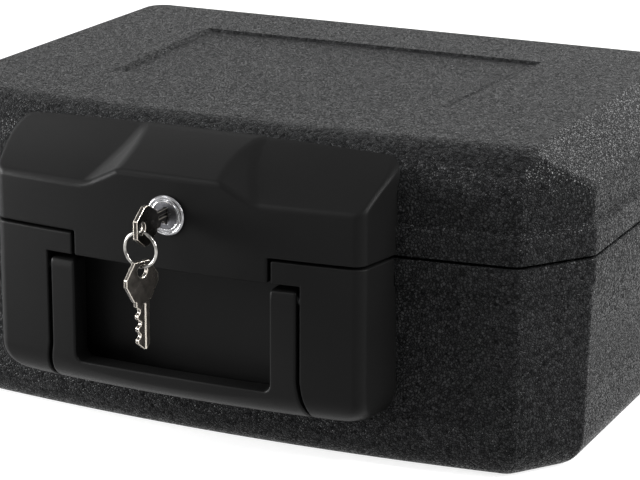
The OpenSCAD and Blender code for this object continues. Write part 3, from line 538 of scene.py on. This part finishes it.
# moulded forms with soft edges: signed distances in millimetres, below 0 inside, meshed on a grid
def common(r, first, *others):
    """Where all forms overlap, with their shared edges rounded by r."""
    out = first
    for other in others:
        rounding = np.hypot(np.maximum(out + r, 0), np.maximum(other + r, 0))
        out = np.minimum(np.maximum(out, other), -r) + rounding
    return out


def joined(r, first, *others):
    """All forms together, with the corners between them filled to the radius r."""
    return -common(r, -first, *[-other for other in others])


def grid_axis(low, high, step, fine=()):
    """Places from low to high, step apart, and closer in each stretch (from, to, step) of fine."""
    margin = 0.3 * step
    places = list(np.arange(low, high + step, step))
    for start, end, fine_step in fine:
        places = [p for p in places if p < start - margin or p > end + margin]
        places += list(np.arange(start, end + fine_step / 2, fine_step))
    return np.array(sorted(places))


def both(start, end, step):
    """The same fine stretch left and right of the middle."""
    return [(-end, -start, step), (start, end, step)]


CELL_CORNERS = [(i, j, k) for i in (0, 1) for j in (0, 1) for k in (0, 1)]


def surface_cells(inside):
    """Cells of the grid that the surface crosses, and the grid of their numbers."""
    shape = tuple(n - 1 for n in inside.shape)
    count = np.zeros(shape, np.int8)
    for corner in CELL_CORNERS:
        count += inside[tuple(slice(c, c + n) for c, n in zip(corner, shape))]
    crossed = (count > 0) & (count < len(CELL_CORNERS))
    cells = np.argwhere(crossed)
    numbers = np.full(shape, -1, np.int64)
    numbers[crossed] = np.arange(len(cells))
    return cells, numbers


def first_points(value, axes, cells):
    """Mean of the points where the edges of each cell cross the surface."""
    total, hits = np.zeros((len(cells), 3)), np.zeros(len(cells))
    for corner in CELL_CORNERS:
        for axis in range(3):
            if corner[axis]:
                continue
            start = cells + np.array(corner)
            end = start.copy()
            end[:, axis] += 1
            v0, v1 = value[tuple(start.T)], value[tuple(end.T)]
            cross = (v0 < 0) != (v1 < 0)
            t = np.where(cross, v0 / np.where(cross, v0 - v1, 1), 0)
            for d in range(3):
                c0, c1 = axes[d][start[:, d]], axes[d][end[:, d]]
                total[:, d] += np.where(cross, c0 + t * (c1 - c0), 0)
            hits += cross
    return total / hits[:, None]


def slope(field, points):
    """Slope of the field at the points, along each axis."""
    reach = 0.04
    slopes = np.empty_like(points)
    for d in range(3):
        before, after = points.copy(), points.copy()
        before[:, d] -= reach
        after[:, d] += reach
        slopes[:, d] = (field(*after.T) - field(*before.T)) / (2 * reach)
    return slopes


def settled(field, points):
    """The points after a few moves along the slope towards the surface."""
    moves, longest, least_slope = 4, 0.5, 0.05
    for _ in range(moves):
        slopes = slope(field, points)
        size = np.maximum((slopes * slopes).sum(1), least_slope)
        move = -(field(*points.T) / size)[:, None] * slopes
        shorten = np.maximum(np.linalg.norm(move, axis=1) / longest, 1)
        points = points + move / shorten[:, None]
    return points


def surface_faces(inside, numbers):
    """One face for each edge of the grid that crosses the surface, through the four cells round it."""
    faces = []
    for axis in range(3):
        second, third = (axis + 1) % 3, (axis + 2) % 3
        low = [slice(1, n - 1) for n in inside.shape]
        low[axis] = slice(0, inside.shape[axis] - 1)
        high = list(low)
        high[axis] = slice(1, inside.shape[axis])
        starts, ends = inside[tuple(low)], inside[tuple(high)]
        where = np.argwhere(starts != ends)
        base = where + np.array([0 if d == axis else 1 for d in range(3)])
        quad = []
        for down_second, down_third in ((1, 1), (0, 1), (0, 0), (1, 0)):
            cell = base.copy()
            cell[:, second] -= down_second
            cell[:, third] -= down_third
            quad.append(numbers[tuple(cell.T)])
        quad = np.array(quad).T
        flip = ~starts[tuple(where.T)]
        quad[flip] = quad[flip][:, ::-1]
        faces.append(quad)
    return np.concatenate(faces)


def net_mesh(name, field, *axes):
    """Mesh of the surface where the field is 0, with the field's own normals."""
    value = field(*np.meshgrid(*axes, indexing="ij", sparse=True))
    inside = value < 0
    cells, numbers = surface_cells(inside)
    points = settled(field, first_points(value, axes, cells))
    slopes = slope(field, points)
    normals = slopes / np.maximum(np.linalg.norm(slopes, axis=1), 1e-9)[:, None]
    made = mesh_object(name, (points / 1000).tolist(), surface_faces(inside, numbers).tolist())
    made.data.normals_split_custom_set_from_vertices(normals.tolist())
    return made


# the fascias' bowed face: y of its front, radius and y of its centre
FACE_Y, FACE_R = -163.0, 731.0
FACE_CENTRE_Y = FACE_Y + FACE_R
# half width at the face, growth of it towards the wall, y of the face there and turn of the sides in plan
SIDE_HALF, SIDE_GROWTH = 95, 6.5
SIDE_Y = FACE_CENTRE_Y - math.sqrt(FACE_R * FACE_R - SIDE_HALF * SIDE_HALF)
SIDE_TURN = math.atan2(SIDE_GROWTH, -HALF_D - SIDE_Y)
# lowest height of the front, thickness of the fascias and their gap to the shells
SILL, WALL, SEAM = 26.0, 3.0, 0.3
# roundings of the fascias: upright edges at the sides, and the smaller one along most other edges
UPRIGHT_EDGE, SMALL_EDGE = 4.5, 0.9
# recess for the handle: half width, y of its back and height of its floor
RECESS_HALF, RECESS_Y, RECESS_FLOOR = 65.6, -143.0, 29.0
# tongue of the lid's fascia: half width and lowest height, and half the space between the columns
TONGUE_HALF, TONGUE_Z, COLUMN = 50.2, 92.8, 51.7
# handle: half widths outside and inside the arms, heights of their ends and of the grip, and depth
ARM_OUT, ARM_IN, ARM_TOP, GRIP_TOP, HANDLE_DEPTH = 64.0, 51.0, 90.0, 40.5, 12
# handle's pins: place, radius of the holes for them and radius of the arms' ends round them
PIVOT_Y, PIVOT_Z, PIN_HOLE, ARM_END = -153.935, 84.916, 2.55, 7.35
# rounding of the foot of the handle and the base's front, from the face to below
FOOT_EDGE = 18.0
# visor: heights of its low edge, of the raised middle's edge and of its top, run and half turn of its arcs
EDGE_Z, MID_Z, VISOR_TOP, VISOR_RUN, VISOR_HALF_TURN = 128.2, 137.0, 151.3, 38.34, 7
# the raised middle's half width at the low edge, at its own edge and at the top
FLANK_LOW, FLANK_HIGH, FLANK_TOP = 43.0, 26.3, 30.0
LOCK_Z = 119.0
# inset of each front wall by height, with its rim band
HEIGHTS = np.linspace(-5, 160, 1200)
BASE_LINE = np.array([base_inset(max(z, 0.0)) - (STEP if z > BASE_LEDGE + STEP / 2 else 0) for z in HEIGHTS])
LID_LINE = np.array([lid_insets(z)[0] - (STEP if z < LID_LEDGE - STEP / 2 else 0) for z in HEIGHTS])


def bow_face(x, y, g=0.0):
    """Behind the bowed face, g further in."""
    return np.hypot(x, y - FACE_CENTRE_Y) - (FACE_R - g)


def bow_sides(x, y, g=0.0):
    """Between the fascia's sides, g further in."""
    return (np.abs(x) - (SIDE_HALF - g) - (y - SIDE_Y - g) * math.tan(SIDE_TURN)) * math.cos(SIDE_TURN)


def off_wall(x, y, z, line):
    """In front of the wall, whose inset by height is line. The seam closes where the visor runs out."""
    close_from, close_to, closed = 134, 144, -1.8
    seam = np.interp(z, (close_from, close_to), (SEAM, closed))
    return BOW_R - np.interp(z, HEIGHTS, line) + seam - np.hypot(x, y - BOW_Y)


def visor_arc(x, y, z, g, edge_z):
    """Below the visor's arc from the height edge_z at the face up to the top, g further in."""
    rise, half_turn = VISOR_TOP - edge_z, math.radians(VISOR_HALF_TURN)
    r = math.hypot(VISOR_RUN, rise) / (2 * math.sin(half_turn))
    lean = math.atan2(VISOR_RUN, rise) - half_turn
    ahead = np.hypot(x, y - FACE_CENTRE_Y) - (FACE_R - g - r * math.cos(lean))
    return np.hypot(ahead, z - (edge_z - g - r * math.sin(lean))) - r


FLANK = np.cross((FLANK_LOW - FLANK_HIGH, 0.0, EDGE_Z - MID_Z),
                 (FLANK_TOP - FLANK_HIGH, VISOR_RUN, VISOR_TOP - MID_Z))
FLANK = FLANK / np.linalg.norm(FLANK)


def lid_fascia_form(x, y, z, g):
    """Outside of the lid's fascia, g further in: visor with raised middle, sides, and tongue below."""
    top, top_corner, top_edge, flank_foot = 152, 14, 2.0, 1.2
    tongue_foot, tongue_edge = 0.6, 0.8
    tongue_floor = g + 3 if g else 0
    flank = FLANK[0] * (np.abs(x) - FLANK_HIGH) + FLANK[1] * (y - FACE_Y) + FLANK[2] * (z - MID_Z) + g
    low, middle = visor_arc(x, y, z, g, EDGE_Z), visor_arc(x, y, z, g, MID_Z)
    visor = common(SMALL_EDGE, middle, joined(flank_foot, low, flank))
    sides = common(top_corner - g, bow_sides(x, y, g), z - (top - g))
    plan = common(UPRIGHT_EDGE - g, bow_face(x, y, g), sides)
    tongue = common(tongue_edge, np.abs(x) - (TONGUE_HALF - g), TONGUE_Z - tongue_floor - z)
    under = joined(tongue_foot, LID_LOW + g - z, tongue)
    return common(SMALL_EDGE, common(top_edge, plan, visor), under)


def lid_fascia_field(x, y, z):
    """Lid's fascia: a shell open behind, with the lock's bore and four bosses, fitted to the lid's wall."""
    opening_half, opening_back, seam_edge = 51.2, 10, 0.5
    bore_r, boss_r, boss_places = 8.22, 5.0, ((-78, 113.5), (-78, 131.5), (78, 113.5), (78, 131.5))
    outer = lid_fascia_form(x, y, z, 0.0)
    inner = lid_fascia_form(x, y, z, WALL)
    behind_tongue = np.maximum(np.maximum(np.abs(x) - opening_half, z - LID_LOW), FACE_Y + opening_back - y)
    shell = np.maximum(outer, -np.minimum(inner, behind_tongue))
    bore = np.hypot(x, z - LOCK_Z) - bore_r
    for boss_x, boss_z in boss_places:
        boss = np.hypot(x - boss_x, z - boss_z) - boss_r
        shell = np.minimum(shell, np.maximum(boss, outer))
    return common(seam_edge, shell, -bore, off_wall(x, y, z, LID_LINE))


def foot_flare(z):
    """How much wider the handle and its recess are at their foot, on each side."""
    whole_below, none_above, flare = 33, 47, 2.2
    return np.interp(z, (whole_below, none_above), (flare, 0.0))


def recess_front(x, z, g=0.0):
    """Inside the recess as seen from the front, g further out: the handle's place and the tongue's gap."""
    corner, gap_from = 0.6, 60
    handle_place = np.maximum(np.abs(x) - (RECESS_HALF + g + foot_flare(z)), z - TONGUE_Z - g)
    tongue_gap = np.maximum(np.abs(x) - COLUMN - g, gap_from - z)
    return joined(corner, handle_place, tongue_gap)


def base_fascia_form(x, y, z, g):
    """Outside of the base's fascia, g further in."""
    side_foot_edge, side_foot_drop, rim_edge = 19, 3, 0.8
    front = common(FOOT_EDGE - g, bow_face(x, y, g), SILL + g - z)
    sides = common(side_foot_edge - g, bow_sides(x, y, g), SILL - side_foot_drop + g - z)
    return common(rim_edge, common(UPRIGHT_EDGE - g, front, sides), z - (BASE_TOP - g))


def base_fascia_field(x, y, z):
    """Base's fascia: a shell open behind, with the lined recess for the handle, fitted to the base's wall."""
    notch_depth = HANDLE_DEPTH + 1
    outer = base_fascia_form(x, y, z, 0.0)
    walls = np.maximum(outer, -base_fascia_form(x, y, z, WALL))
    lining = np.maximum(np.maximum(recess_front(x, z, WALL), y - RECESS_Y - WALL), outer)
    body = np.minimum(walls, lining)
    front = recess_front(x, z)
    recess = np.maximum(np.maximum(front, y - RECESS_Y), RECESS_FLOOR - z)
    notch = np.maximum(np.maximum(front, -bow_face(x, y, notch_depth)), z - RECESS_FLOOR - 1)
    return common(SMALL_EDGE, body, -np.minimum(recess, notch), off_wall(x, y, z, BASE_LINE))


def handle_field(x, y, z):
    """Handle: two arms and the grip between them, flush with the bowed face, with holes for the pins."""
    arm_edge, grip_corner, pin_reach = 1.3, 4.0, 2
    outside = np.abs(x) - (ARM_OUT + foot_flare(z))
    between_arms = common(grip_corner, np.abs(x) - ARM_IN, GRIP_TOP - z)
    face = common(FOOT_EDGE, bow_face(x, y), SILL - z)
    back = -bow_face(x, y, HANDLE_DEPTH)
    arm_end = np.hypot(y - PIVOT_Y, np.maximum(z - PIVOT_Z, 0)) - ARM_END
    body = common(arm_edge, outside, -between_arms, face, back, arm_end, z - ARM_TOP)
    pin_hole = np.maximum(np.hypot(y - PIVOT_Y, z - PIVOT_Z) - PIN_HOLE, ARM_IN + pin_reach - np.abs(x))
    return np.maximum(body, -pin_hole)


def place_piece(made, body, slot):
    """Gives the piece the material of its slot and the body that it moves with."""
    made.data.materials.append(MATS[slot])
    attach(made, body)


# shells with the hinges' knuckles
lid_outer = lid_shell()
base_outer = base_shell()
place_piece(lid_outer, "lid", "shell")
place_piece(base_outer, "base", "shell")
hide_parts("lid_shell")
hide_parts("base_shell")
for tag, hinge_x in (("left", -HINGE_X), ("right", HINGE_X)):
    place_piece(knuckle("knuckle_lid_" + tag, hinge_x, LID_KNUCKLE, 1), "lid", "shell")
    for number, offset in ((1, -KNUCKLE_SPACING), (3, KNUCKLE_SPACING)):
        name = "knuckle_base_%s_%d" % (tag, number)
        place_piece(knuckle(name, hinge_x + offset, BASE_KNUCKLE, -1), "base", "shell")

# fascias and handle, on grids that begin in front of the face and are finer at the pieces' edges
GRID_FRONT, GRID_HALF = FACE_Y - 2, 104.3
fine_stretches = both(49.4, 52.8, 0.4) + both(63.6, 69.2, 0.6) + both(89, 102.5, 0.9)
wide = grid_axis(-GRID_HALF, GRID_HALF, 1.3, fine_stretches)
visor = net_mesh("visor", lid_fascia_field, wide, grid_axis(GRID_FRONT, -106, 1.0),
                 grid_axis(91.2, 154.2, 1.0, [(92, 95, 0.4), (103.2, 108, 0.5)]))
front_panel = net_mesh("front_panel", base_fascia_field, wide, grid_axis(GRID_FRONT, -122, 1.0),
                       grid_axis(24, 106, 1.0, [(25.2, 32, 0.6), (88.5, 104.6, 0.5)]))
handle_bow = net_mesh("handle_bow", handle_field, grid_axis(-68, 68, 1.1, both(49, 66, 0.6)),
                      grid_axis(GRID_FRONT, -142, 0.7),
                      grid_axis(24, 94, 0.9, [(36, 47, 0.6), (87, 93, 0.5)]))
place_piece(visor, "lid", "fascia")
place_piece(front_panel, "base", "fascia")
place_piece(handle_bow, "handle", "handle")
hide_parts("lid_fascia")
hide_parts("base_fascia")
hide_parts("carry_handle")


def seen_ray(nt):
    """1 for rays from the camera, off mirrors and through glass, and 0 for the rest."""
    path = node(nt, "ShaderNodeLightPath").outputs
    direct = combined(nt, "MAXIMUM", path["Is Camera Ray"], path["Is Glossy Ray"])
    return combined(nt, "MAXIMUM", direct, path["Is Transmission Ray"])


def add_floor():
    """Floor: white to the camera but for the object's shadow, and a plain grey to the rest."""
    size, seen_grey, plain_grey, glow, rough = 14, 0.40, 0.55, 0.78, 0.9
    bpy.ops.mesh.primitive_plane_add(size=size, location=(0, 0, 0))
    floor = bpy.context.object
    floor.name = "floor"
    mat, nt, bsdf = new_mat("floor_white")
    seen = seen_ray(nt)
    feed(nt, ramp(nt, seen, 0.0, 1.0, plain_grey, seen_grey), bsdf.inputs["Base Color"])
    feed(nt, rough, bsdf.inputs["Roughness"])
    feed(nt, 0.0, bsdf.inputs["Specular IOR Level"])
    feed(nt, (1, 1, 1, 1), bsdf.inputs["Emission Color"])
    feed(nt, combined(nt, "MULTIPLY", seen, glow), bsdf.inputs["Emission Strength"])
    floor.data.materials.append(mat)


def add_world():
    """World: white to the camera and to mirrors, and dim to the rest."""
    dim, white = 0.12, 1.0
    world = bpy.data.worlds.new("world")
    scene.world = world
    world.use_nodes = True
    nt = world.node_tree
    nt.nodes.clear()
    mix = node(nt, "ShaderNodeMixShader", Fac=seen_ray(nt))
    for socket, strength in zip(mix.inputs[1:], (dim, white)):
        light = node(nt, "ShaderNodeBackground", Color=(1, 1, 1, 1), Strength=strength)
        feed(nt, light.outputs[0], socket)
    out = nt.nodes.new("ShaderNodeOutputWorld")
    feed(nt, mix.outputs[0], out.inputs["Surface"])


def add_lamp(name, toward, distance, size, power):
    """Square lamp that shines on the object from the direction toward."""
    middle = Vector((0, 0, 0.09))
    data = bpy.data.lights.new(name, "AREA")
    data.shape = "RECTANGLE"
    data.size = size
    data.size_y = size
    data.energy = power
    lamp = bpy.data.objects.new(name, data)
    scene.collection.objects.link(lamp)
    lamp.location = middle + Vector(toward).normalized() * distance
    lamp.rotation_euler = (middle - lamp.location).to_track_quat("-Z", "Y").to_euler()


# each lamp's name, direction from the object, distance, size and power
LAMPS = (
    ("right", (0.86, 0.06, 0.42), 1.9, 0.6, 44),
    ("back_right", (0.50, 0.70, 0.50), 1.9, 0.6, 8),
    ("back", (0.15, 0.87, 0.47), 1.9, 0.9, 10),
    ("top_left", (-0.70, 0.20, 0.68), 1.9, 0.6, 4),
    ("left_back", (-0.85, 0.45, 0.28), 1.9, 0.6, 3),
    ("left_front", (-0.93, -0.36, 0.14), 1.8, 0.7, 64),
    ("front", (-0.41, -0.58, 0.70), 1.9, 0.8, 16),
    ("corner", (0.60, -0.22, 0.77), 1.9, 0.4, 20),
    ("left_low", (-0.80, -0.58, 0.06), 1.8, 0.5, 24),
)
add_floor()
add_world()
for lamp in LAMPS:
    add_lamp(*lamp)
